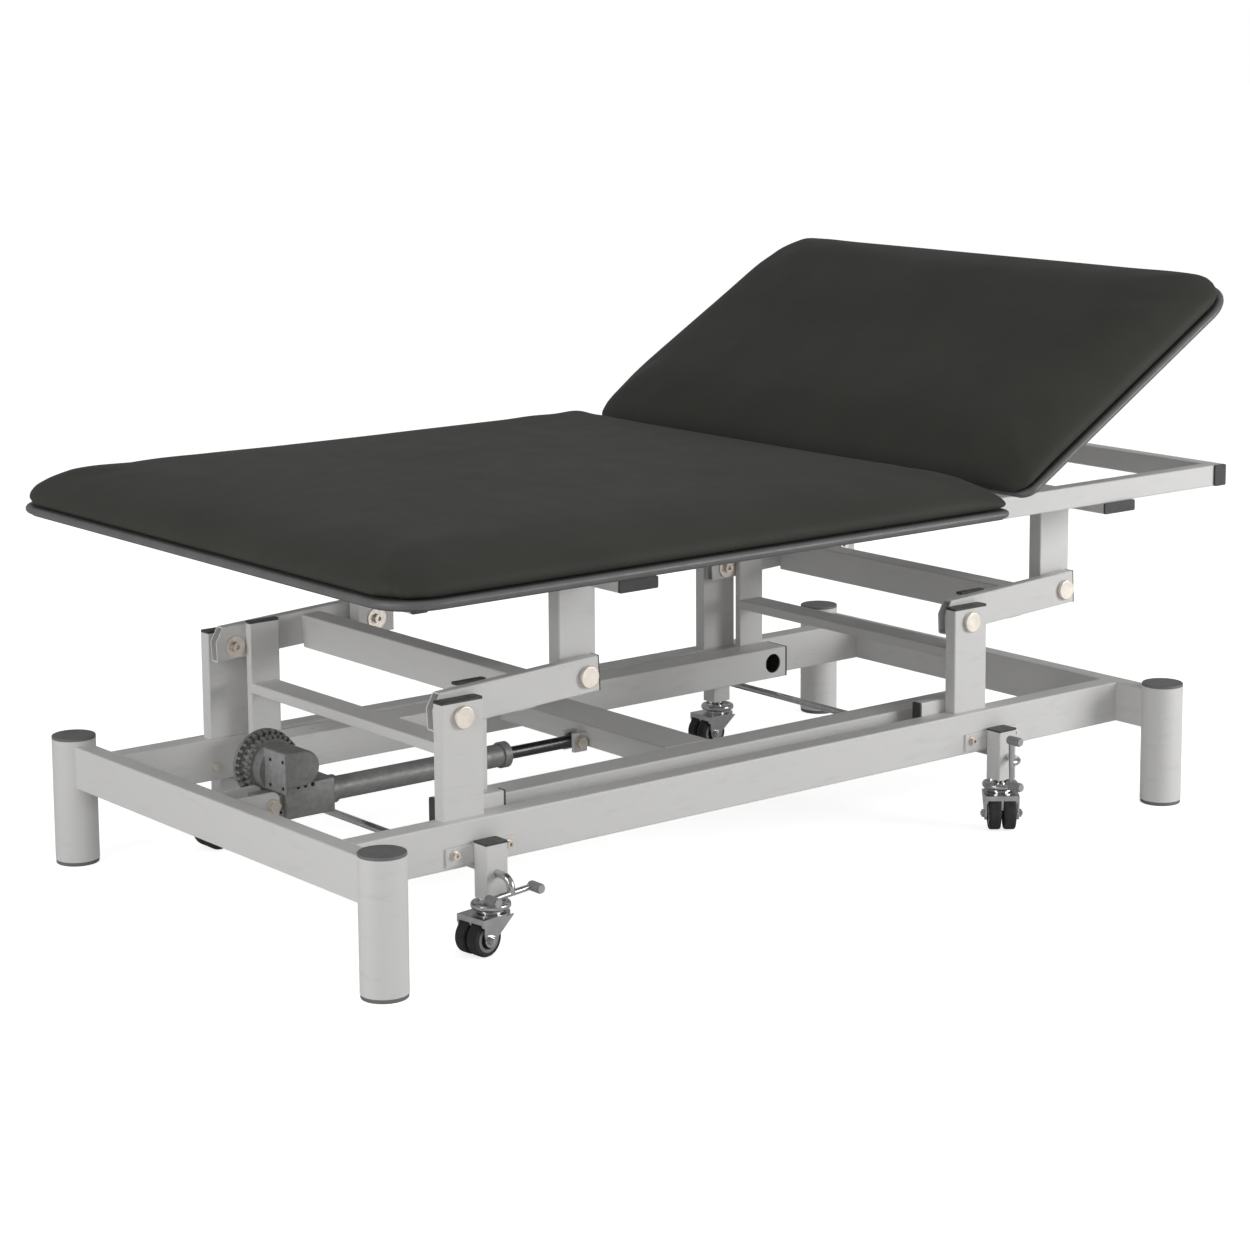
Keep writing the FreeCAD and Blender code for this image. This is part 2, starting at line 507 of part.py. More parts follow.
# top frame: two rails between open end tubes, low cross tubes and hangers
for label, y0 in (("top_rail_near", "-top_rail_out"), ("top_rail_far", "top_rail_out - top_rail_wide")):
    x0 = "top_foot_x + top_rail_wide"
    run = "top_head_x - top_foot_x - 2 * top_rail_wide"
    body = tube("x", x0, y0, "top_rail_low", run, "top_rail_wide", "top_rail_high")
    core = box(x0, y0 + " + thin_wall", "top_rail_low + thin_wall", run,
               "top_rail_wide - 2 * thin_wall", "top_rail_high - 2 * thin_wall")
    node(label, cut(body, core))
lids = []
for label, x0 in (("top_end_foot", "top_foot_x"), ("top_end_head", "top_head_x - top_rail_wide")):
    body = tube("y", x0, "-top_rail_out", "top_rail_low", "top_rail_wide", "2 * top_rail_out", "top_rail_high")
    core = box(x0 + " + thin_wall", "-top_rail_out", "top_rail_low + thin_wall",
               "top_rail_wide - 2 * thin_wall", "2 * top_rail_out", "top_rail_high - 2 * thin_wall")
    node(label, cut(body, core))
    for y1 in ("-top_rail_out - plug_high", "top_rail_out"):
        lids.append(tube("y", x0, y1, "top_rail_low", "top_rail_wide", "plug_high", "top_rail_high"))
lows = []
for x0 in ("low_foot_x", "low_head_x"):
    body = tube("y", x0, "-top_rail_out", "top_rail_low - low_high", "low_wide", "2 * top_rail_out", "low_high")
    core = box(x0 + " + thin_wall", "-top_rail_out", "top_rail_low - low_high + thin_wall",
               "low_wide - 2 * thin_wall", "2 * top_rail_out", "low_high - 2 * thin_wall")
    lows.append(cut(body, core))
    for y1 in ("-top_rail_out - plug_high", "top_rail_out"):
        lids.append(tube("y", x0, y1, "top_rail_low - low_high", "low_wide", "plug_high", "low_high"))
node("low_cross_tubes", group(*lows))
node("top_plugs", group(*lids))
hangers = []
bolts = []
arm_dx = "(arm_len * cos(arm_tilt * 1 deg) - arm_pivot_up * sin(arm_tilt * 1 deg))"
arm_dz = "(arm_len * sin(arm_tilt * 1 deg) + arm_pivot_up * cos(arm_tilt * 1 deg))"
for px in ("pivot_foot_x", "pivot_foot_x + pivot_pitch"):
    x = px + " + " + arm_dx
    z = "pivot_z + " + arm_dz
    for near in (True, False):
        y0 = "-hanger_out" if near else "hanger_out - hanger_thick"
        sign = "-" if near else ""
        away = "-y" if near else "y"
        back = "y" if near else "-y"
        low = z + " - hanger_low"
        tall = "top_rail_low - low_high - (%s)" % low
        body = tube("z", x + " - hanger_wide / 2", y0, low, "hanger_wide", "hanger_thick", tall)
        core = box(x + " - hanger_wide / 2 + thin_wall", y0 + " + thin_wall", low,
                   "hanger_wide - 2 * thin_wall", "hanger_thick - 2 * thin_wall", tall)
        bore = cyl("y", x, y0 + " - 1", z, "hanger_pin_dia", "hanger_thick + 2")
        hangers.append(cut(body, core, bore))
        inner = "(hanger_out - hanger_thick)"
        shank = cyl(away, x, sign + inner, z, "hanger_pin_dia", "arm_out + 0.3 - " + inner)
        head = cyl(away, x, sign + "(arm_out + 0.3)", z, "pin_head_dia", "pin_head_high")
        head = soft(head, 1.5, lambda mid: abs(mid.y) > sizes["arm_out"] + 2)
        if near:
            spacer_from = "-hanger_out"
        else:
            spacer_from = "hanger_out"
        spacer = cyl(away, x, spacer_from, z, "washer_dia - 8", "arm_out - arm_thick - hanger_out - 0.3")
        washer = cyl(back, x, sign + inner, z, "washer_dia", "washer_thick")
        screw = cyl(back, x, sign + "(hanger_out - hanger_thick - washer_thick)", z, "screw_dia", "screw_high")
        socket = cyl(back, x, sign + "(hanger_out - hanger_thick - washer_thick - screw_high + 4)", z,
                     "socket_dia", "5")
        bolts.append(cut(fuse(shank, head, spacer, washer, screw), socket))
node("hangers", group(*hangers))
for near in (True, False):
    sign = "-" if near else ""
    back = "y" if near else "-y"
    reach = "top_rail_out - top_rail_wide - strut_out + strut_wide"
    pin = cyl(back, "hinge_x", sign + "(top_rail_out - top_rail_wide)", "hinge_z", "hinge_pin_dia", reach + " + 0.5")
    head = cyl(back, "hinge_x", sign + "(strut_out - strut_wide - 0.5)", "hinge_z", "hinge_pin_dia + 6", "4")
    bolts.append(fuse(pin, head))
node("top_bolts", group(*bolts))


# a board, its edge trim and its pad, rounded in plan at the free end
def panel(x0, run, free_low):
    def corner(mid):
        at_free = mid.x < far_x if free_low else mid.x > far_x
        return float(sizes["corner_rad"]) if at_free else float(sizes["hinge_rad"])

    def upright(mid, direction):
        return abs(direction.z) > 0.5 * direction.Length and direction.Length > 1

    doc.recompute()
    whole = box(x0, "-half_wide", "0", run, "2 * half_wide", "trim_high")
    doc.recompute()
    far_x = whole.Shape.BoundBox.Center.x
    outer = rounded(whole, corner, upright)
    outer = rounded(outer, float(sizes["trim_nose"]), lambda mid, way: abs(way.z) < 0.01)

    def inner_corner(mid):
        return corner(mid) - float(sizes["trim_thick"])

    def solid(dz, high):
        return rounded(box(x0 + " + trim_thick", "-half_wide + trim_thick", dz, "(%s) - 2 * trim_thick" % run,
                           "2 * half_wide - 2 * trim_thick", high), inner_corner, upright)

    ring = cut(outer, solid("-1", "trim_high + 2"))
    board = solid("trim_high - board_thick", "board_thick")

    def pad_corner(mid):
        at_free = mid.x < far_x if free_low else mid.x > far_x
        return float(sizes["corner_rad"]) - float(sizes["pad_inset"]) if at_free else float(sizes["pad_hinge_rad"])

    block = rounded(box(x0 + " + pad_inset", "-half_wide + pad_inset", "trim_high", "(%s) - 2 * pad_inset" % run,
                        "2 * half_wide - 2 * pad_inset", "pad_thick"), pad_corner, upright)
    doc.recompute()
    top_z = block.Shape.BoundBox.ZMax
    pad = rounded(block, float(sizes["pad_round"]), lambda mid, direction: abs(mid.z - top_z) < 0.01)
    return ring, board, pad


ring, board, pad = panel("seat_foot_x", "seat_head_x - seat_foot_x", True)
node("seat_trim", seat(ring, "0", "0", "trim_low"))
node("seat_board", seat(board, "0", "0", "trim_low"))
node("seat_pad", seat(pad, "0", "0", "trim_low"))

ring, board, pad = panel("back_start", "back_long", False)


def lean(obj, rise):
    return seat(obj, "hinge_x - (%s) * sin(back_tilt * 1 deg)" % rise, "0",
                "hinge_z + (%s) * cos(back_tilt * 1 deg)" % rise, (0, 1, 0), "-back_tilt")


node("back_trim", lean(ring, "back_rise"))
node("back_board", lean(board, "back_rise"))
node("back_pad", lean(pad, "back_rise"))
struts = []
for near in (True, False):
    y0 = "-strut_out" if near else "strut_out - strut_wide"
    knuckle = cyl("y", "0", y0, "0", "knuckle_dia", "strut_wide")
    flat = box("0", y0, "back_rise + trim_high - board_thick - strut_thick", "strut_long", "strut_wide",
               "strut_thick")
    # thinner at the hinge, so the seat's edge stays free when the back stands steep
    notch = box("-20", y0 + " - 1", "strut_nose", "40", "strut_wide + 2", "20")
    bore = cyl("y", "0", y0 + " - 1", "0", "hinge_pin_dia + 2 * run_fit", "strut_wide + 2")
    struts.append(cut(fuse(knuckle, cut(flat, notch)), bore))
node("back_struts", lean(group(*struts), "0"))


# pedal shafts with their bent cranks and tread bars
def pedal(label, x, turn):
    shaft = cyl("-y", "0", "shaft_far_y", "0", "shaft_dia", "shaft_far_y - shaft_near_y")
    bend = fresh("Part::Torus")
    bind(bend, "Radius1", "bend_rad")
    bind(bend, "Radius2", "shaft_dia / 2")
    bend.Angle3 = 90
    bend.Placement.Rotation = FreeCAD.Rotation(
        FreeCAD.Vector(0, -1, 0), FreeCAD.Vector(0, 0, 1), FreeCAD.Vector(-1, 0, 0))
    put(bend, "0", "shaft_near_y", "-bend_rad")
    drop = cyl("z", "0", "shaft_near_y - bend_rad", "-tread_bar_drop", "shaft_dia", "tread_bar_drop - bend_rad")
    bar = cyl("x", "-tread_bar_half", "shaft_near_y - bend_rad", "-tread_bar_drop", "tread_bar_dia",
              "2 * tread_bar_half")
    grips = [cyl("-y", step, "shaft_near_y - bend_rad + 6.5", "-tread_bar_drop", "grip_dia", "grip_long")
             for step in ("-tread_bar_half", "tread_bar_half")]
    node(label, seat(fuse(shaft, bend, drop, bar, *grips), x, "0", "shaft_z", (0, 1, 0), turn))


pedal("pedal_foot", "castor_foot_x", "pedal_foot_turn")
pedal("pedal_head", "castor_head_x", "pedal_head_turn")


def wedge(x, y, z, low_from, low_to, top_from, top_to, thick, high):
    # upright plate, narrow below and wide above
    obj = fresh("Part::Wedge")
    for word, term in (("Xmin", low_from), ("Xmax", low_to), ("X2min", top_from), ("X2max", top_to),
                       ("Ymin", "0"), ("Ymax", high), ("Zmin", "0"), ("Zmax", thick),
                       ("Z2min", "0"), ("Z2max", thick)):
        bind(obj, word, term)
    obj.Placement.Rotation = FreeCAD.Rotation(FreeCAD.Vector(1, 0, 0), 90)
    put(obj, x, y, z)
    return obj


# castors: sliding stem with bearing ring, swivelling fork, twin wheels
def castor(label, x, y, turn):
    stem = cyl("z", "0", "0", "ring_top - ring_high + 1", "stem_dia", "stem_top - ring_top + ring_high - 1")
    disc = soft(cyl("z", "0", "0", "ring_top - ring_high", "ring_dia", "ring_high"), 4.6)
    dish = cyl("z", "0", "0", "ring_top - ring_dish_deep", "ring_dish_dia", "ring_dish_deep + 1")
    node("castor_stem_" + label, seat(fuse(cut(disc, dish), stem), x, y, "0"))
    wheel_z = "(wheel_rad + wheel_bottom)"
    out = "(cheek_in + cheek_thick)"
    neck = cyl("z", "0", "0", "fork_top - 1", "neck_low_dia", "neck_top - fork_top + 1")
    race = cyl("z", "0", "0", "neck_top - 3", "neck_wide", "3")
    plate = cyl("z", "0", "0", "fork_top - fork_plate", "2 * " + out, "fork_plate")
    tail = box("-trail - 16", "-" + out, "fork_top - fork_plate", "trail + 16", "2 * " + out, "fork_plate")
    skirt = box("-trail - 16", "-" + out, "fork_top - fork_skirt", "3", "2 * " + out, "fork_skirt - 1")
    web = box("-trail - 16", "-1.8", wheel_z + " + 9", "34", "3.6", "fork_top - 1 - 9 - " + wheel_z)
    cheeks = []
    for y0 in ("-" + out, "cheek_in"):
        cheeks.append(wedge("0", y0 + " + cheek_thick", wheel_z, "-trail - cheek_wide / 2",
                            "-trail + cheek_wide / 2", "-trail - 16", "22", "cheek_thick",
                            "fork_top - fork_plate + 1 - " + wheel_z))
        cheeks.append(cyl("y", "-trail", y0, wheel_z, "cheek_wide", "cheek_thick"))
    axle_pin = cyl("y", "-trail", "-axle_half", wheel_z, "axle_dia", "2 * axle_half")
    nuts = [prism("y", "-trail", out, wheel_z, "nut_wide", "5"),
            prism("-y", "-trail", "-" + out, wheel_z, "nut_wide", "5")]
    room = []
    for y0 in ("-wheel_gap / 2 - wheel_wide - 1.5", "wheel_gap / 2 - 0.5"):
        room.append(cyl("y", "-trail", y0, wheel_z, "2 * wheel_rad + 2", "wheel_wide + 2"))
    frame = fuse(neck, race, plate, tail, skirt, web, *cheeks)
    holes = cyl("y", "-trail", "-axle_half - 5", wheel_z, "axle_dia", "2 * axle_half + 10")
    node("castor_fork_" + label, seat(fuse(cut(frame, *room, holes), axle_pin, *nuts), x, y, "0", (0, 0, 1), turn))
    wheels = []
    for y0 in ("-wheel_gap / 2 - wheel_wide", "wheel_gap / 2"):
        tyre = soft(cyl("y", "0", y0, "0", "2 * wheel_rad", "wheel_wide"), 4.5)
        outer_y = y0 + " - 1" if y0.startswith("-") else y0 + " + wheel_wide - hub_deep"
        dish = cyl("y", "0", outer_y, "0", "hub_dia", "hub_deep + 1")
        bore = cyl("y", "0", y0 + " - 1", "0", "axle_dia + 2 * run_fit", "wheel_wide + 2")
        wheels.append(cut(tyre, dish, bore))
    pair = group(*wheels)
    cx = "%s - trail * cos((%s) * 1 deg)" % (x, turn)
    cy = "%s - trail * sin((%s) * 1 deg)" % (y, turn)
    node("castor_wheels_" + label, seat(pair, cx, cy, wheel_z, (0, 0, 1), turn))


castor("foot_near", "castor_foot_x", "-castor_y", "turn_near_foot")
castor("foot_far", "castor_foot_x", "castor_y", "0")
castor("head_near", "castor_head_x", "-castor_y", "turn_near_head")
castor("head_far", "castor_head_x", "castor_y", "0")

doc.recompute()
for obj in doc.Objects:
    if "Invalid" in obj.State or "Error" in obj.State:
        raise RuntimeError("object failed: " + obj.Label + " " + obj.TypeId)
for label, obj in nodes.items():
    if obj.Shape.isNull() or not obj.Shape.isValid():
        raise RuntimeError("bad shape: " + label)
    obj.Shape.exportStep("parts/%s.step" % label)
    span = obj.Shape.BoundBox
    print("%-22s solids %2d" % (label, len(obj.Shape.Solids)),
          "x %8.1f %8.1f" % (span.XMin, span.XMax),
          "y %8.1f %8.1f" % (span.YMin, span.YMax),
          "z %8.1f %8.1f" % (span.ZMin, span.ZMax))
print("nodes", len(nodes))
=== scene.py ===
import json
import math
import bpy
import bmesh
from mathutils import Matrix, Vector, noise


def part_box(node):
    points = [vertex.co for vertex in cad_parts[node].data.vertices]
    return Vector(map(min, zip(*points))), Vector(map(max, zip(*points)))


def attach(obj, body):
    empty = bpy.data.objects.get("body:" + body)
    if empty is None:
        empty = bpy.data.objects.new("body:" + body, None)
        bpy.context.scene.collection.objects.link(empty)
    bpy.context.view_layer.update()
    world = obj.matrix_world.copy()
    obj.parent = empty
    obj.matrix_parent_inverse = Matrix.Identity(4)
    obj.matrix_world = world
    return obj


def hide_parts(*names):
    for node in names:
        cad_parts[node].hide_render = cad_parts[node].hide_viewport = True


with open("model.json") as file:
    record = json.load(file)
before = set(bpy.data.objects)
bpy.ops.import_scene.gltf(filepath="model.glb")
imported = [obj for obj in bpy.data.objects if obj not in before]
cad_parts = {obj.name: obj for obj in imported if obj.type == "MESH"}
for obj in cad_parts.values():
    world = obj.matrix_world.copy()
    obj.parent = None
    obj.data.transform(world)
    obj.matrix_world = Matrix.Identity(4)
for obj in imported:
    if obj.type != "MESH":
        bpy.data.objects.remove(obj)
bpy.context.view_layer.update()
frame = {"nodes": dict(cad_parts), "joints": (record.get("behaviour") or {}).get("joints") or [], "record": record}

scene = bpy.context.scene
joints = {joint["name"]: joint for joint in frame["joints"]}
print("stage: frame loaded")


# materials

def newMaterial(name, colour, rough, metallic=0.0, specular=0.5):
    mat = bpy.data.materials.new(name)
    mat.use_nodes = True
    shader = mat.node_tree.nodes["Principled BSDF"]
    shader.inputs["Base Color"].default_value = (*colour, 1)
    shader.inputs["Roughness"].default_value = rough
    shader.inputs["Metallic"].default_value = metallic
    shader.inputs["Specular IOR Level"].default_value = specular
    mat.diffuse_color = (*colour, 1)
    return mat


def place(mat, stretch=(1, 1, 1)):
    # object coordinates, stretched where a pattern runs one way
    nodes, links = mat.node_tree.nodes, mat.node_tree.links
    where = nodes.new("ShaderNodeTexCoord")
    mapping = nodes.new("ShaderNodeMapping")
    mapping.inputs["Scale"].default_value = stretch
    links.new(where.outputs["Object"], mapping.inputs["Vector"])
    return mapping.outputs["Vector"]


def cloud(mat, vector, scale, detail=3.0, rough=0.5):
    tex = mat.node_tree.nodes.new("ShaderNodeTexNoise")
    tex.inputs["Scale"].default_value = scale
    tex.inputs["Detail"].default_value = detail
    tex.inputs["Roughness"].default_value = rough
    mat.node_tree.links.new(vector, tex.inputs["Vector"])
    return tex.outputs["Fac"]


def spread(mat, value, low, high, start=0.3, end=0.7):
    ramp = mat.node_tree.nodes.new("ShaderNodeMapRange")
    ramp.inputs["From Min"].default_value = start
    ramp.inputs["From Max"].default_value = end
    ramp.inputs["To Min"].default_value = low
    ramp.inputs["To Max"].default_value = high
    mat.node_tree.links.new(value, ramp.inputs["Value"])
    return ramp.outputs["Result"]


def tint(mat, value, colourA, colourB):
    mix = mat.node_tree.nodes.new("ShaderNodeMix")
    mix.data_type = "RGBA"
    mix.inputs["A"].default_value = (*colourA, 1)
    mix.inputs["B"].default_value = (*colourB, 1)
    mat.node_tree.links.new(value, mix.inputs["Factor"])
    return mix.outputs["Result"]


def feed(mat, value, socket):
    mat.node_tree.links.new(value, mat.node_tree.nodes["Principled BSDF"].inputs[socket])


def bumps(mat, value, height, strength=1.0, under=None):
    bump = mat.node_tree.nodes.new("ShaderNodeBump")
    bump.inputs["Distance"].default_value = height
    bump.inputs["Strength"].default_value = strength
    mat.node_tree.links.new(value, bump.inputs["Height"])
    if under is not None:
        mat.node_tree.links.new(under, bump.inputs["Normal"])
    feed(mat, bump.outputs["Normal"], "Normal")
    return bump.outputs["Normal"]


def cells(mat, vector, feature, scale):
    tex = mat.node_tree.nodes.new("ShaderNodeTexVoronoi")
    tex.feature = feature
    tex.inputs["Scale"].default_value = scale
    mat.node_tree.links.new(vector, tex.inputs["Vector"])
    return tex.outputs["Distance"]


def shade(colour, factor, lift=0.0):
    return tuple(c * factor + lift for c in colour)


# in the dictionaries below a cloud is (scale, detail, roughness)
coat = {
    "rough": 0.42, "roughRange": (0.36, 0.5), "blotch": (38.0,),
    "rub": (7.0, 5.0, 0.62), "rubStretch": (2, 2, 9), "rubRange": (0.56, 0.74), "worn": 0.93,
    "peel": (620.0, 1.5), "peelHeight": 0.00035, "peelStrength": 0.35,
}


def paintedSteel(name, colour):
    # powder coat: orange peel, slight cloudiness, a few dull rubs
    mat = newMaterial(name, colour, coat["rough"])
    here = place(mat)
    rub = cloud(mat, place(mat, coat["rubStretch"]), *coat["rub"])
    feed(mat, tint(mat, spread(mat, rub, 0, 1, *coat["rubRange"]),
                   colour, shade(colour, coat["worn"])), "Base Color")
    feed(mat, spread(mat, cloud(mat, here, *coat["blotch"]), *coat["roughRange"]), "Roughness")
    bumps(mat, cloud(mat, here, *coat["peel"]), coat["peelHeight"], coat["peelStrength"])
    return mat


moulding = {
    "roughLess": 0.06, "roughMore": 0.09, "blotch": (60.0,),
    "dust": (24.0, 6.0), "dustShare": 0.6, "dustLight": 1.25, "dustLift": 0.012,
    "grainDetail": 2.0, "grainHeight": 0.00025, "grainStrength": 0.5,
}


def mouldedPlastic(name, colour, rough, grain=900.0):
    # injection moulded: fine spark texture, dull dust in the low spots
    mat = newMaterial(name, colour, rough)
    here = place(mat)
    dusty = shade(colour, moulding["dustLight"], moulding["dustLift"])
    dust = spread(mat, cloud(mat, here, *moulding["dust"]), 0, moulding["dustShare"])
    feed(mat, tint(mat, dust, colour, dusty), "Base Color")
    feed(mat, spread(mat, cloud(mat, here, *moulding["blotch"]),
                     rough - moulding["roughLess"], rough + moulding["roughMore"]), "Roughness")
    bumps(mat, cloud(mat, here, grain, moulding["grainDetail"]),
          moulding["grainHeight"], moulding["grainStrength"])
    return mat


plating = {
    "roughLess": 0.07, "roughMore": 0.12, "roughLeast": 0.03, "roughDetail": 4.0,
    "smoke": (55.0, 5.0), "smokeShare": 0.7, "smokeDark": 0.72,
    "grainDetail": 3.0, "grainHeight": 0.0001, "grainStrength": 0.4,
}


def bareMetal(name, colour, rough, stretch=(1, 1, 1), grain=420.0, metallic=1.0):
    # plated or dark metal: smoky patches, a fine grain that may run one way
    mat = newMaterial(name, colour, rough, metallic)
    here = place(mat, stretch)
    smoke = spread(mat, cloud(mat, place(mat), *plating["smoke"]), 0, plating["smokeShare"])
    feed(mat, tint(mat, smoke, colour, shade(colour, plating["smokeDark"])), "Base Color")
    feed(mat, spread(mat, cloud(mat, here, grain, plating["roughDetail"]),
                     max(plating["roughLeast"], rough - plating["roughLess"]),
                     rough + plating["roughMore"]), "Roughness")
    bumps(mat, cloud(mat, here, grain, plating["grainDetail"]),
          plating["grainHeight"], plating["grainStrength"])
    return mat


casting = {
    "rough": 0.5, "metallic": 0.35, "roughRange": (0.4, 0.6), "blotch": (150.0,),
    "patch": (90.0, 6.0), "patchLight": 1.3,
    "skin": (480.0, 4.0, 0.6), "skinHeight": 0.0005, "skinStrength": 0.6,
}


def castMetal(name, colour):
    # painted die casting, coarse skin
    mat = newMaterial(name, colour, casting["rough"], casting["metallic"])
    here = place(mat)
    feed(mat, tint(mat, spread(mat, cloud(mat, here, *casting["patch"]), 0, 1),
                   colour, shade(colour, casting["patchLight"])), "Base Color")
    feed(mat, spread(mat, cloud(mat, here, *casting["blotch"]), *casting["roughRange"]),
         "Roughness")
    bumps(mat, cloud(mat, here, *casting["skin"]), casting["skinHeight"], casting["skinStrength"])
    return mat


leather = {
    "rough": 0.6, "specular": 0.1, "roughRange": (0.55, 0.63), "blotch": (17.0, 4.0),
    "patch": (5.0, 5.0), "patchLight": 1.12, "patchDark": 0.94,
    "pebble": 620.0, "pebbleHeight": 0.0003, "pebbleStrength": 0.45,
    "crease": 260.0, "creaseHeight": 0.0004, "creaseStrength": 0.3,
    "wave": (9.0, 3.0), "waveHeight": 0.004, "waveStrength": 0.12,
    "sheen": 0.03, "sheenRough": 0.5,
}


def upholstery(name, colour):
    # soft artificial leather: pebbled grain in two sizes with a faint sheen
    mat = newMaterial(name, colour, leather["rough"], 0.0, leather["specular"])
    here = place(mat)
    feed(mat, tint(mat, spread(mat, cloud(mat, here, *leather["patch"]), 0, 1),
                   shade(colour, leather["patchDark"]), shade(colour, leather["patchLight"])),
         "Base Color")
    feed(mat, spread(mat, cloud(mat, here, *leather["blotch"]), *leather["roughRange"]),
         "Roughness")
    pebble = cells(mat, here, "SMOOTH_F1", leather["pebble"])
    crease = cells(mat, here, "DISTANCE_TO_EDGE", leather["crease"])
    first = bumps(mat, pebble, leather["pebbleHeight"], leather["pebbleStrength"])
    second = bumps(mat, crease, leather["creaseHeight"], leather["creaseStrength"], first)
    bumps(mat, cloud(mat, here, *leather["wave"]), leather["waveHeight"], leather["waveStrength"],
          second)
    shader = mat.node_tree.nodes["Principled BSDF"]
    shader.inputs["Sheen Weight"].default_value = leather["sheen"]
    shader.inputs["Sheen Roughness"].default_value = leather["sheenRough"]
    return mat


tyre = {
    "rough": 0.72, "specular": 0.35, "dust": (70.0, 6.0), "dustShare": 0.8, "dustLift": 0.03,
    "skin": (700.0, 3.0), "skinHeight": 0.0003, "skinStrength": 0.6,
}


def rubber(name, colour):
    # dull tyre rubber with a little grey dust
    mat = newMaterial(name, colour, tyre["rough"], 0.0, tyre["specular"])
    here = place(mat)
    dust = spread(mat, cloud(mat, here, *tyre["dust"]), 0, tyre["dustShare"])
    feed(mat, tint(mat, dust, colour, shade(colour, 1, tyre["dustLift"])), "Base Color")
    bumps(mat, cloud(mat, here, *tyre["skin"]), tyre["skinHeight"], tyre["skinStrength"])
    return mat


birch = {
    "rough": 0.62, "grain": (22.0, 8.0, 0.65), "stretch": (9, 0.7, 9), "grainRange": (0.35, 0.65),
    "dark": 0.72, "grainHeight": 0.0006, "grainStrength": 0.3,
}


def plywood(name, colour):
    # stained birch board, long grain across the table
    mat = newMaterial(name, colour, birch["rough"])
    grain = cloud(mat, place(mat, birch["stretch"]), *birch["grain"])
    feed(mat, tint(mat, spread(mat, grain, 0, 1, *birch["grainRange"]),
                   colour, shade(colour, birch["dark"])), "Base Color")
    bumps(mat, grain, birch["grainHeight"], birch["grainStrength"])
    return mat


finishes = {
    "frame_grey": paintedSteel("coatLightGrey", (0.76, 0.755, 0.74)),
    "cap_grey": mouldedPlastic("capGrey", (0.165, 0.165, 0.165), 0.5),
    "plug_black": mouldedPlastic("plugBlack", (0.045, 0.045, 0.046), 0.46),
    "zinc": bareMetal("zincPlate", (0.9, 0.83, 0.74), 0.36),
    "actuator_grey": castMetal("castGrey", (0.25, 0.252, 0.247)),
    "rod_dark": bareMetal("rodDark", (0.11, 0.11, 0.115), 0.3, (1, 6, 6), 300.0, 0.9),
    "board_dark": plywood("boardStain", (0.13, 0.125, 0.12)),
    "trim_grey": mouldedPlastic("trimGrey", (0.125, 0.125, 0.126), 0.4, 500.0),
    "cover_charcoal": upholstery("coverCharcoal", (0.05, 0.0503, 0.0445)),
    "chrome": bareMetal("chromePlate", (0.66, 0.66, 0.67), 0.12),
    "tyre_black": rubber("tyreRubber", (0.026, 0.026, 0.028)),
}
hubGrey = mouldedPlastic("hubGrey", (0.24, 0.24, 0.245), 0.48)
gripGrey = mouldedPlastic("gripGrey", (0.3, 0.3, 0.305), 0.55)
# black for the screw heads, and painted shade for the holes in the gearbox block
screwBlack = bareMetal("screwBlack", (0.035, 0.035, 0.037), 0.34, metallic=0.8)
coverPlate = castMetal("coverPlate", (0.33, 0.332, 0.33))

for part in frame["record"]["subparts"]:
    cadNode = frame["nodes"][part["node"]]
    cadNode.data.materials.clear()
    cadNode.data.materials.append(finishes[part["material_slot"]])
print("stage: materials on the CAD nodes")


# shared helpers for new pieces

smoothAngle = 35.0  # edges sharper than this stay sharp


def finished(bm, name, mat, body, smooth):
    bmesh.ops.recalc_face_normals(bm, faces=bm.faces)
    mesh = bpy.data.meshes.new(name)
    bm.to_mesh(mesh)
    bm.free()
    piece = bpy.data.objects.new(name, mesh)
    scene.collection.objects.link(piece)
    mesh.materials.append(mat)
    mesh.shade_smooth()
    mesh.set_sharp_from_angle(angle=math.radians(smooth))
    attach(piece, body)
    return piece


def applied(piece):
    # the mesh with its modifiers, as a mesh of its own
    evaluated = piece.evaluated_get(bpy.context.evaluated_depsgraph_get())
    mesh = bpy.data.meshes.new_from_object(evaluated)
    piece.modifiers.clear()
    old = piece.data
    piece.data = mesh
    bpy.data.meshes.remove(old)
    return piece


# boards and their rounded edge strips, thinner than the solids they stand for

panelShape = {
    "stripHigh": 0.013, "stripDeep": 0.010, "boardHigh": 0.016, "half": 0.600,
    "freeCorner": 0.085, "hingeCorner": 0.026, "leastCorner": 0.004,  # radii in plan
    "boardDrop": 0.0004,  # the board's face lies just under the strip's edge
    "cornerSteps": 12, "noseSteps": 8,
}


def roundedLoop(bm, low, high, corners, inward, height, shrink, least):
    # one rounded rectangle: corners holds the radius at the low and at the high end
    loop = []
    steps = panelShape["cornerSteps"]
    for side, (sx, sy) in enumerate(((1, 1), (-1, 1), (-1, -1), (1, -1))):
        radius = max(corners[1 if sx > 0 else 0] - inward * shrink, least)
        centre = Vector(((high.x if sx > 0 else low.x) - sx * (inward + radius),
                         (high.y if sy > 0 else low.y) - sy * (inward + radius), height))
        for step in range(steps + 1):
            angle = math.radians(90 * (side + step / steps))
            spoke = Vector((math.cos(angle), math.sin(angle), 0))
            loop.append(bm.verts.new(centre + radius * spoke))
    return loop


def skin(bm, loops, closed=False):
    pairs = list(zip(loops, loops[1:])) + ([(loops[-1], loops[0])] if closed else [])
    for under, over in pairs:
        for k in range(len(under)):
            after = (k + 1) % len(under)
            bm.faces.new((under[k], under[after], over[after], over[k]))
    if not closed:
        bm.faces.new(list(reversed(loops[0])))
        bm.faces.new(loops[-1])


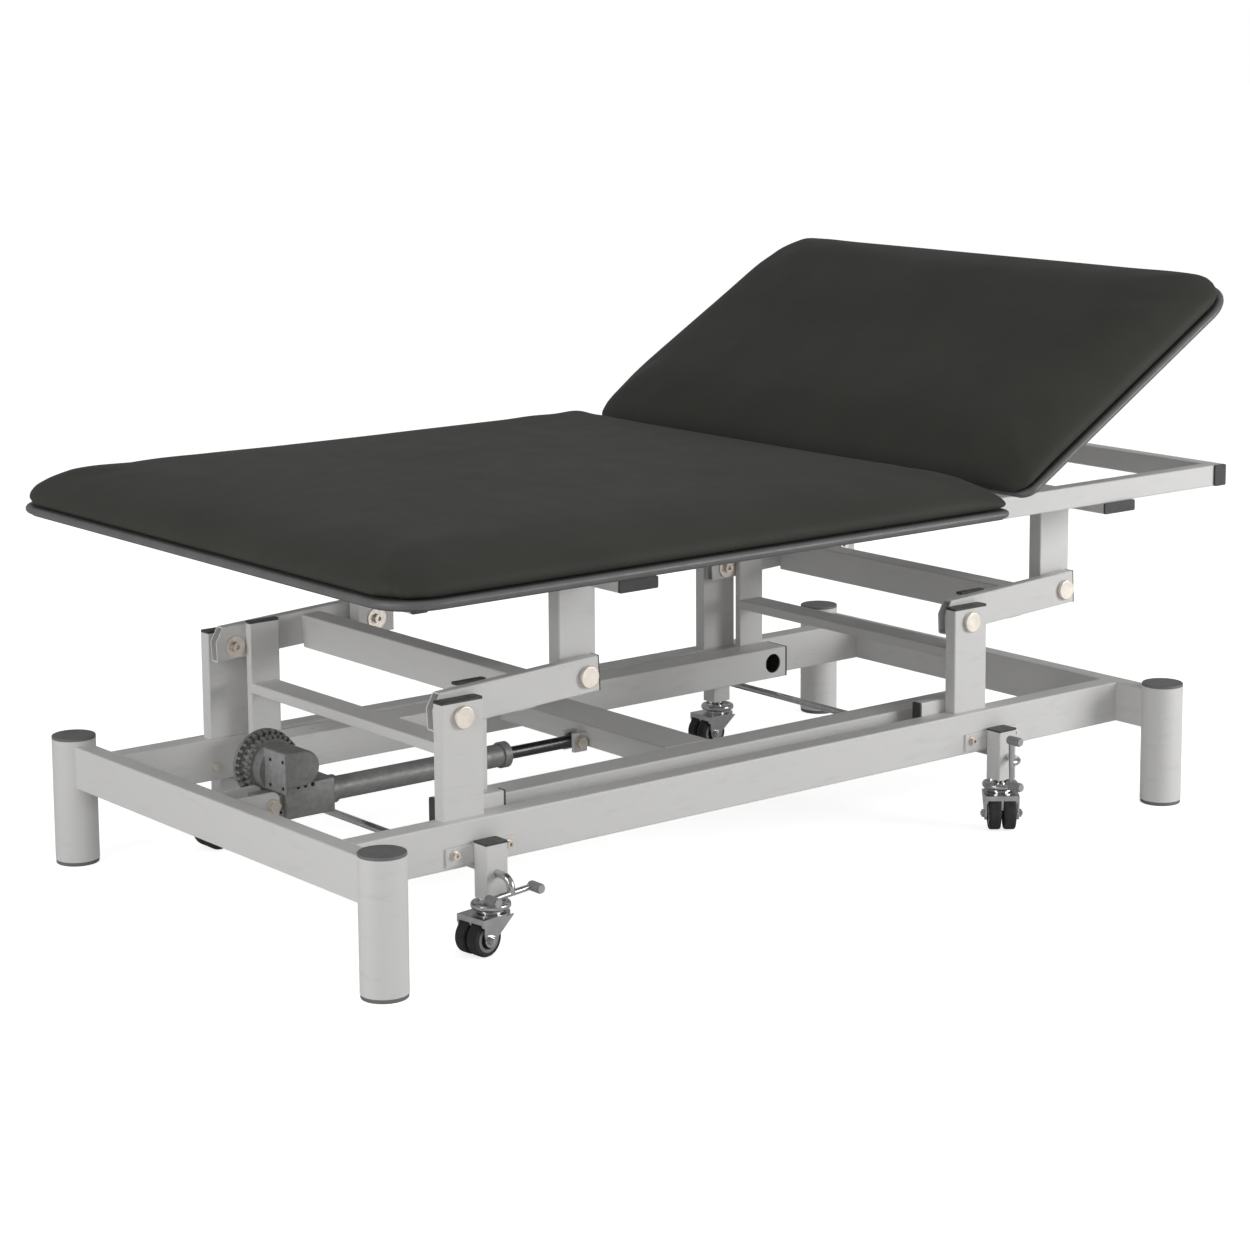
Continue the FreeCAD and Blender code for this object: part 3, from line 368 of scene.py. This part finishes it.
def makePanel(label, body, start, end, base, hingeAtHigh, turn):
    corners = [panelShape["freeCorner"], panelShape["hingeCorner"]]
    if not hingeAtHigh:
        corners.reverse()
    low = Vector((start, -panelShape["half"], base))
    high = Vector((end, panelShape["half"], base + panelShape["boardHigh"]))
    nose = panelShape["stripHigh"] / 2
    middle = high.z - nose
    profile = [(panelShape["stripDeep"], middle - nose)]
    for step in range(panelShape["noseSteps"] + 1):
        angle = math.radians(-90 + 180 * step / panelShape["noseSteps"])
        profile.append((nose * (1 - math.cos(angle)), middle + nose * math.sin(angle)))
    profile.append((panelShape["stripDeep"], middle + nose))
    flat = [(panelShape["stripDeep"], height)
            for height in (low.z, high.z - panelShape["boardDrop"])]
    strip, board = bmesh.new(), bmesh.new()
    for bm, rings, closed in ((strip, profile, True), (board, flat, False)):
        skin(bm, [roundedLoop(bm, low, high, corners, inward, height, 1.0,
                              panelShape["leastCorner"])
                  for inward, height in rings], closed)
    for bm, word, finish in ((strip, "trim", "trim_grey"), (board, "board", "board_dark")):
        bmesh.ops.transform(bm, matrix=turn, verts=bm.verts)
        piece = finished(bm, label + word.capitalize(), finishes[finish], body, smoothAngle)
        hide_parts(label + "_" + word)


# pads: foam under artificial leather, crowned, pulled in at the board

padShape = {
    "freeCorner": 0.084, "hingeCorner": 0.040, "leastCorner": 0.020, "cornerShrink": 0.7,  # in plan
    "sideHeight": 0.013, "shoulder": 0.125, "power": 2.0, "rings": 14, "ringPower": 1.6,  # profile
    "hingeReach": 0.135, "hingeRest": 0.16,  # thinner towards the hinge
    "crown": 0.060, "dome": 0.17,  # height of the form, and what the middle rises beyond it
    "tuckIn": 0.0045, "tuckHeight": 0.010,  # pulled in above the trim
    "voxel": 0.011, "smoothSteps": 4, "smoothShare": 0.5,
    "pressure": 4.0, "stretchy": 40, "bendy": 4, "held": 0.004, "frames": 20, "cap": 0.005,  # cloth
    "gather": 0.0008, "gatherWaves": 30.0, "gatherPhase": 7, "gatherHeight": 0.6, "gatherFrom": 0.6,
    "uneven": 0.0012, "unevenScale": 4.0, "unevenShift": 0.2,
    "spill": 0.0, "hingeSpill": 0.012,  # past the edge strip, at the free sides and at the hinge
}


def padForm(low, high, hingeAtHigh):
    # rings that go up the side and over the crown
    bm = bmesh.new()
    corners = [padShape["freeCorner"], padShape["hingeCorner"]]
    if not hingeAtHigh:
        corners.reverse()
    crown = high.z - low.z - padShape["sideHeight"]
    reach, power = padShape["shoulder"], padShape["power"]
    steps = [(0.0, 0.0)]
    for ring in range(padShape["rings"] + 1):
        inward = reach * (ring / padShape["rings"]) ** padShape["ringPower"]
        up = crown * (1 - (1 - inward / reach) ** power) ** (1 / power)
        steps.append((inward, padShape["sideHeight"] + up))
    skin(bm, [roundedLoop(bm, low, high, corners, inward, low.z + up,
                          padShape["cornerShrink"], padShape["leastCorner"])
              for inward, up in steps])
    return bm


def thinToHinge(bm, low, high, hingeAtHigh):
    reach, rest = padShape["hingeReach"], padShape["hingeRest"]
    for vertex in bm.verts:
        away = (high.x - vertex.co.x) if hingeAtHigh else (vertex.co.x - low.x)
        part = min(max(away / reach, 0), 1)
        share = rest + (1 - rest) * math.sqrt(1 - (1 - part) ** 2)
        vertex.co.z = low.z + (vertex.co.z - low.z) * share


def swell(piece, floorZ):
    # cloth under light air pressure, held along the underside, kept within the cap
    before = [v.co.copy() for v in piece.data.vertices]
    held = piece.vertex_groups.new(name="held")
    low = [v.index for v in piece.data.vertices if v.co.z < floorZ + padShape["held"]]
    held.add(low, 1.0, "REPLACE")
    modifier = piece.modifiers.new("Cloth", "CLOTH")
    settings = modifier.settings
    settings.use_pressure = True
    settings.uniform_pressure_force = padShape["pressure"]
    settings.tension_stiffness = padShape["stretchy"]
    settings.compression_stiffness = padShape["stretchy"]
    settings.bending_stiffness = padShape["bendy"]
    settings.effector_weights.gravity = 0
    settings.vertex_group_mass = "held"
    modifier.point_cache.frame_start = 1
    modifier.point_cache.frame_end = padShape["frames"]
    for step in range(1, padShape["frames"] + 1):
        scene.frame_set(step)
    applied(piece)
    scene.frame_set(1)
    for vertex, start in zip(piece.data.vertices, before):
        move = vertex.co - start
        if move.length > padShape["cap"]:
            vertex.co = start + move * (padShape["cap"] / move.length)
    piece.vertex_groups.clear()


def dress(piece, low, high, hingeAtHigh):
    # domed, pulled in above the trim, small gathers round the corners, never quite even
    middle = (low + high) / 2
    half = (high - low) / 2
    core = padShape["freeCorner"]
    for vertex in piece.data.vertices:
        co = vertex.co
        rise = (co.z - low.z) / (high.z - low.z)
        u, v = (co.x - middle.x) / half.x, (co.y - middle.y) / half.y
        bulge = max(0, 1 - abs(u) ** 3) * max(0, 1 - abs(v) ** 3)
        near = Vector((min(max(co.x, low.x + core), high.x - core),
                       min(max(co.y, low.y + core), high.y - core), co.z))
        outward = co - near
        if outward.length > core * padShape["gatherFrom"]:
            outward.normalize()
            tuck = max(0, 1 - (co.z - low.z) / padShape["tuckHeight"]) ** 2 * padShape["tuckIn"]
            angle = math.atan2(abs(outward.y), abs(outward.x))
            fade = max(0, 1 - rise / padShape["gatherHeight"])
            gather = padShape["gather"] * math.sin(angle * 2) * fade
            phase = co.x * padShape["gatherPhase"]
            co += outward * (gather * math.sin(angle * padShape["gatherWaves"] + phase) - tuck)
        co.z += (co.z - low.z) * padShape["dome"] * bulge
        if rise > 0.5:
            wave = noise.noise(co * padShape["unevenScale"]) - padShape["unevenShift"]
            co.z += padShape["uneven"] * wave * (rise - 0.5) * 2
        co.z = max(co.z, low.z)
        vertex.co = co


def makePad(name, node, body, hingeAtHigh, low, high, turn):
    form = padForm(low, high, hingeAtHigh)
    piece = finished(form, name, finishes["cover_charcoal"], body, smooth=180)
    piece.parent = None
    remesh = piece.modifiers.new("Remesh", "REMESH")
    remesh.mode = "VOXEL"
    remesh.voxel_size = padShape["voxel"]
    applied(piece)
    swell(piece, low.z)
    smooth = piece.modifiers.new("Smooth", "SMOOTH")
    smooth.iterations = padShape["smoothSteps"]
    smooth.factor = padShape["smoothShare"]
    finer = piece.modifiers.new("Finer", "SUBSURF")
    finer.levels = finer.render_levels = 1
    applied(piece)
    shaped = bmesh.new()
    shaped.from_mesh(piece.data)
    thinToHinge(shaped, low, high, hingeAtHigh)
    shaped.to_mesh(piece.data)
    shaped.free()
    dress(piece, low, high, hingeAtHigh)
    piece.data.transform(turn)
    piece.data.shade_smooth()
    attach(piece, body)
    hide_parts(node)
    print("stage:", name, len(piece.data.polygons), "faces")


# the back section is built flat, then turned up about its hinge; it is as long as in the photo,
# where it measures less than the solids that it replaces
backHinge = Vector(joints["back_angle"]["pos_m"])
backTilt = math.radians(-joints["back_angle"]["range_deg"][0])
backTurn = Matrix.Translation(backHinge) @ Matrix.Rotation(-backTilt, 4, "Y")
trimLow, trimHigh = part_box("seat_trim")
sections = [
    {"word": "seat", "body": "top_frame", "start": trimLow.x, "end": trimHigh.x, "base": trimLow.z,
     "hingeAtHigh": True, "turn": Matrix.Identity(4)},
    {"word": "back", "body": "backrest", "start": 0.050, "end": 0.680, "base": 0.0088,
     "hingeAtHigh": False, "turn": backTurn},
]
for part in sections:
    makePanel(part["word"], part["body"], part["start"], part["end"], part["base"],
              part["hingeAtHigh"], part["turn"])
    free, hinged = padShape["spill"], padShape["hingeSpill"]
    spillLow, spillHigh = (free, hinged) if part["hingeAtHigh"] else (hinged, free)
    padBase = part["base"] + panelShape["boardHigh"]
    makePad(part["word"] + "Cushion", part["word"] + "_pad", part["body"], part["hingeAtHigh"],
            Vector((part["start"] - spillLow, -panelShape["half"] - free, padBase)),
            Vector((part["end"] + spillHigh, panelShape["half"] + free,
                    padBase + padShape["crown"])), part["turn"])


# gearbox and motor casing of the actuator

gearbox = {
    "caseX": (-0.850, -0.785), "caseY": (-0.042, 0.024), "caseZ": (0.216, 0.276), "caseSteps": 16,
    "blockX": (-0.8455, -0.749), "blockY": (-0.031, 0.031), "blockZ": (0.160, 0.219),
    "edge": 0.004, "overlap": 0.004, "edgeSteps": 3,
    "neckDia": 0.048, "neckEnd": -0.733, "axisZ": 0.190,
    "lugX": (-0.884, -0.846), "lugY": (-0.024, 0.024), "lugZ": (0.176, 0.204), "lugEdge": 0.002,
    "hubX": -0.822, "hubZ": 0.235, "hubDia": 0.082, "hubEnd": 0.042,
    "plateZ": (0.207, 0.275), "plateThick": 0.003, "plateEdge": 0.0012,
    "plateInset": 0.001, "plateSink": 0.001, "plateSteps": 2,
    # the low plate and its screws lie between the ears of the bracket
    "lowPlateY": (-0.0235, 0.0235), "lowPlateZ": (0.165, 0.206),
    "lowPlateThick": 0.0013, "lowPlateEdge": 0.0008,
    "screws": [(0.002, 0.259), (-0.036, 0.261), (0.003, 0.2165), (-0.036, 0.2165),
               (-0.017, 0.1985), (-0.017, 0.172), (0.017, 0.1985), (0.017, 0.172)],
    "screwDia": 0.0062, "screwHigh": 0.002, "aroundSteps": 16, "acrossSteps": 8,
    # black discs set flush on the block face in place of holes: painted shade for the hollows
    "holes": [(-0.821, 0.2135), (-0.807, 0.2135), (-0.793, 0.2135)],
    "holeDia": 0.0075, "holeDeep": 0.004, "holeSink": 0.0018,
}
roundSteps = 32


def bevel(bm, edges, offset, segments):
    bmesh.ops.bevel(bm, geom=edges, offset=offset, affect="EDGES", segments=segments,
                    profile=0.5, material=-1)


def addBlock(bm, xs, ys, zs, edge, segments):
    made = bmesh.ops.create_cube(bm, size=1.0)["verts"]
    for vertex in made:
        vertex.co = Vector([lo + (c + 0.5) * (hi - lo)
                            for c, (lo, hi) in zip(vertex.co, (xs, ys, zs))])
    edges = dict.fromkeys(e for v in made for e in v.link_edges)
    bevel(bm, list(edges), edge, segments)


def addRound(bm, axis, centre, dia, long):
    turns = {"x": Matrix.Rotation(math.pi / 2, 4, "Y"), "y": Matrix.Rotation(-math.pi / 2, 4, "X")}
    made = bmesh.ops.create_cone(bm, cap_ends=True, segments=roundSteps,
                                 radius1=dia / 2, radius2=dia / 2, depth=long)["verts"]
    bmesh.ops.transform(bm, matrix=Matrix.Translation(centre) @ turns[axis], verts=made)


def addDome(bm, centre, dia, high):
    # a low round screw head that faces the foot end
    made = bmesh.ops.create_uvsphere(bm, u_segments=gearbox["aroundSteps"],
                                     v_segments=gearbox["acrossSteps"], radius=dia / 2)["verts"]
    for vertex in made:
        x = vertex.co.z * high / (dia / 2)
        vertex.co = Vector((centre[0] - x, centre[1] + vertex.co.x, centre[2] + vertex.co.y))


def addCase(bm, size):
    # D-shaped: flat at the front plate, round at its far end
    (x0, x1), (y0, y1), (z0, z1) = size["caseX"], size["caseY"], size["caseZ"]
    bulge = (z1 - z0) / 2
    outline = [(x0, z1), (x0, z0)]
    for step in range(size["caseSteps"] + 1):
        angle = math.radians(-90 + 180 * step / size["caseSteps"])
        outline.append((x1 - bulge + bulge * math.cos(angle), z0 + bulge + bulge * math.sin(angle)))
    face = bm.faces.new([bm.verts.new((x, y0, z)) for x, z in outline])
    swept = bmesh.ops.extrude_face_region(bm, geom=[face])["geom"]
    bmesh.ops.translate(bm, vec=(0, y1 - y0, 0),
                        verts=[g for g in swept if isinstance(g, bmesh.types.BMVert)])
    bmesh.ops.recalc_face_normals(bm, faces=bm.faces)
    rims = [e for e in bm.edges if abs(e.verts[0].co.y - e.verts[1].co.y) < 1e-6]
    bevel(bm, rims, size["edge"], size["edgeSteps"])


def makeGearbox():
    size = gearbox
    bm = bmesh.new()
    addCase(bm, size)
    addBlock(bm, size["blockX"], size["blockY"], size["blockZ"], size["edge"], size["edgeSteps"])
    addBlock(bm, size["lugX"], size["lugY"], size["lugZ"], size["lugEdge"], size["edgeSteps"])
    neckLong = size["neckEnd"] - size["blockX"][1] + size["overlap"]
    addRound(bm, "x", (size["neckEnd"] - neckLong / 2, 0, size["axisZ"]), size["neckDia"], neckLong)
    y0, y1 = size["caseY"]
    hubLong = size["hubEnd"] - y1 + size["overlap"]
    addRound(bm, "y", (size["hubX"], size["hubEnd"] - hubLong / 2, size["hubZ"]), size["hubDia"],
             hubLong)
    case = finished(bm, "actuatorCase", finishes["actuator_grey"], "actuator", smoothAngle)
    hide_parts("actuator_housing")

    plates = bmesh.new()
    sink = size["plateSink"]
    highFront = size["caseX"][0] - size["plateThick"]
    lowFront = size["blockX"][0] - size["lowPlateThick"]
    addBlock(plates, (highFront, size["caseX"][0] + sink),
             (y0 + size["plateInset"], y1 - size["plateInset"]), size["plateZ"],
             size["plateEdge"], size["plateSteps"])
    addBlock(plates, (lowFront, size["blockX"][0] + sink), size["lowPlateY"], size["lowPlateZ"],
             size["lowPlateEdge"], size["plateSteps"])
    finished(plates, "actuatorPlates", coverPlate, "actuator", smoothAngle)

    dark = bmesh.new()
    for y, z in size["screws"]:
        front = highFront if z > size["lowPlateZ"][1] else lowFront
        addDome(dark, (front, y, z), size["screwDia"], size["screwHigh"])
    # the holes are not cut: black discs just proud of the block face are painted shade for their hollows
    for x, z in size["holes"]:
        addRound(dark, "y", (x, size["blockY"][0] + size["holeSink"], z), size["holeDia"],
                 size["holeDeep"])
    finished(dark, "actuatorScrews", screwBlack, "actuator", smooth=50)


makeGearbox()
print("stage: gearbox and motor casing")


# castors: grey hub rings on the wheels' outer faces

hubRing = {"outer": 0.0212, "inner": 0.0160, "thick": 0.0012, "face": 0.0245, "sink": 0.0004,
           "segments": 40}


def makeHubRings():
    for name, joint in joints.items():
        if not name.startswith("roll_"):
            continue
        axis = Vector(joint["axis"]).normalized()
        turn = Vector((0, 1, 0)).rotation_difference(axis).to_matrix().to_4x4()
        bm = bmesh.new()
        for side in (-1, 1):
            start = side * (hubRing["face"] - hubRing["sink"])
            end = side * (hubRing["face"] - hubRing["sink"] + hubRing["thick"])
            profile = [(hubRing["inner"], start), (hubRing["inner"], end), (hubRing["outer"], end),
                       (hubRing["outer"], start)]
            corners = [bm.verts.new((radius, y, 0)) for radius, y in profile]
            loop = [bm.edges.new(pair) for pair in zip(corners, corners[1:] + corners[:1])]
            bmesh.ops.spin(bm, geom=corners + loop, cent=(0, 0, 0), axis=(0, 1, 0),
                           angle=math.tau, steps=hubRing["segments"], use_merge=True)
        bmesh.ops.remove_doubles(bm, verts=bm.verts, dist=1e-6)
        bmesh.ops.transform(bm, matrix=Matrix.Translation(joint["pos_m"]) @ turn, verts=bm.verts)
        finished(bm, name.replace("roll", "hubRings"), hubGrey, joint["child"], smoothAngle)


makeHubRings()


# pedals: ribbed sleeves on the tread bars' ends

grip = {
    "start": -0.4468, "end": -0.4740, "out": 0.042, "drop": 0.025, "dia": 0.0152,
    "ribDia": 0.0166, "ribLong": 0.0022, "ribs": 5,
    "turns": {"pedal_foot": -5, "pedal_head": 88},
}


def makeGrips():
    long = grip["start"] - grip["end"]
    middle = (grip["start"] + grip["end"]) / 2
    for name, degrees in grip["turns"].items():
        joint = joints[name + "_turn"]
        turn = Matrix.Rotation(math.radians(degrees), 4, "Y")
        bm = bmesh.new()
        for x in (-grip["out"], grip["out"]):
            addRound(bm, "y", (x, middle, -grip["drop"]), grip["dia"], long)
            for k in range(grip["ribs"]):
                y = grip["end"] + long * (k + 0.5) / grip["ribs"]
                addRound(bm, "y", (x, y, -grip["drop"]), grip["ribDia"], grip["ribLong"])
        bmesh.ops.transform(bm, matrix=Matrix.Translation(joint["pos_m"]) @ turn, verts=bm.verts)
        finished(bm, "grips" + name.split("_")[1].capitalize(), gripGrey, joint["child"], smooth=30)


makeGrips()
print("stage: castors and pedals")


# floor, lights and camera

floorShape = {
    "size": 60.0, "colour": (0.86, 0.86, 0.86), "rough": 0.9, "specular": 0.2,
    "patch": (0.6, 2.0), "patchDark": 0.985,
    "glow": 0.77,  # lifts the far floor to white, only where the camera sees it
}


def makeFloor():
    bm = bmesh.new()
    bmesh.ops.create_grid(bm, x_segments=2, y_segments=2, size=floorShape["size"] / 2)
    mesh = bpy.data.meshes.new("studioFloor")
    bm.to_mesh(mesh)
    bm.free()
    floor = bpy.data.objects.new("studioFloor", mesh)
    scene.collection.objects.link(floor)
    pale = floorShape["colour"]
    mat = newMaterial("floorPale", pale, floorShape["rough"], 0.0, floorShape["specular"])
    nodes, links = mat.node_tree.nodes, mat.node_tree.links
    shader = nodes["Principled BSDF"]
    feed(mat, tint(mat, cloud(mat, place(mat), *floorShape["patch"]), pale,
                   shade(pale, floorShape["patchDark"])), "Base Color")
    shader.inputs["Emission Color"].default_value = (1, 1, 1, 1)
    ray = nodes.new("ShaderNodeLightPath")
    glow = nodes.new("ShaderNodeMath")
    glow.operation = "MULTIPLY"
    glow.inputs[1].default_value = floorShape["glow"]
    links.new(ray.outputs["Is Camera Ray"], glow.inputs[0])
    links.new(glow.outputs[0], shader.inputs["Emission Strength"])
    mesh.materials.append(mat)


studio = {
    "world": 0.3,
    "lamps": [
        {"name": "softLeft", "place": (-5.0, -0.8, 2.1), "aim": (0, 0, 0.4), "size": 2.6,
         "power": 84},
        {"name": "softRight", "place": (3.4, -4.5, 1.7), "aim": (0.3, 0, 0.4), "size": 2.8,
         "power": 150},
        {"name": "softTop", "place": (0.6, -0.4, 4.2), "aim": (0, 0, 0), "size": 3.0,
         "power": 14},
    ],
}


def makeWorld():
    # white where the camera looks through, dimmer where the world lights the table
    world = bpy.data.worlds.new("studio")
    scene.world = world
    world.use_nodes = True
    nodes, links = world.node_tree.nodes, world.node_tree.links
    nodes.clear()
    out = nodes.new("ShaderNodeOutputWorld")
    room = nodes.new("ShaderNodeBackground")
    room.inputs["Color"].default_value = (1, 1, 1, 1)
    room.inputs["Strength"].default_value = studio["world"]
    white = nodes.new("ShaderNodeBackground")
    white.inputs["Color"].default_value = (1, 1, 1, 1)
    ray = nodes.new("ShaderNodeLightPath")
    mix = nodes.new("ShaderNodeMixShader")
    seen = nodes.new("ShaderNodeMath")
    seen.operation = "MAXIMUM"
    links.new(ray.outputs["Is Camera Ray"], seen.inputs[0])
    links.new(ray.outputs["Is Transmission Ray"], seen.inputs[1])
    links.new(seen.outputs[0], mix.inputs["Fac"])
    links.new(room.outputs[0], mix.inputs[1])
    links.new(white.outputs[0], mix.inputs[2])
    links.new(mix.outputs[0], out.inputs["Surface"])


def makeLamps():
    for lamp in studio["lamps"]:
        data = bpy.data.lights.new(lamp["name"], "AREA")
        data.shape = "SQUARE"
        data.size = lamp["size"]
        data.energy = lamp["power"]
        light = bpy.data.objects.new(lamp["name"], data)
        light.location = lamp["place"]
        aim = Vector(lamp["aim"]) - Vector(lamp["place"])
        light.rotation_euler = aim.to_track_quat("-Z", "Y").to_euler()
        scene.collection.objects.link(light)


view = {
    "place": (-3.4779, -4.2589, 1.5309), "heading": 50.398, "tilt": -9.173, "roll": -0.178,
    "lens": 89.24, "sensor": 36, "shiftX": -0.053, "shiftY": -0.12,
}


def makeCamera():
    heading, tilt, roll = (math.radians(view[word]) for word in ("heading", "tilt", "roll"))
    look = Vector((math.cos(tilt) * math.cos(heading), math.cos(tilt) * math.sin(heading),
                   math.sin(tilt)))
    flat = Vector((math.sin(heading), -math.cos(heading), 0))
    up = flat.cross(look)
    right = math.cos(roll) * flat + math.sin(roll) * up
    upward = math.cos(roll) * up - math.sin(roll) * flat
    data = bpy.data.cameras.new("photoView")
    data.lens = view["lens"]
    data.sensor_width = view["sensor"]
    data.shift_x = view["shiftX"]
    data.shift_y = view["shiftY"]
    camera = bpy.data.objects.new("photoView", data)
    turn = Matrix((right, upward, -look)).transposed().to_4x4()
    camera.matrix_world = Matrix.Translation(view["place"]) @ turn
    scene.collection.objects.link(camera)
    scene.camera = camera


makeFloor()
makeWorld()
makeLamps()
makeCamera()
scene.view_settings.view_transform = "Standard"
print("stage: floor, lights and camera")
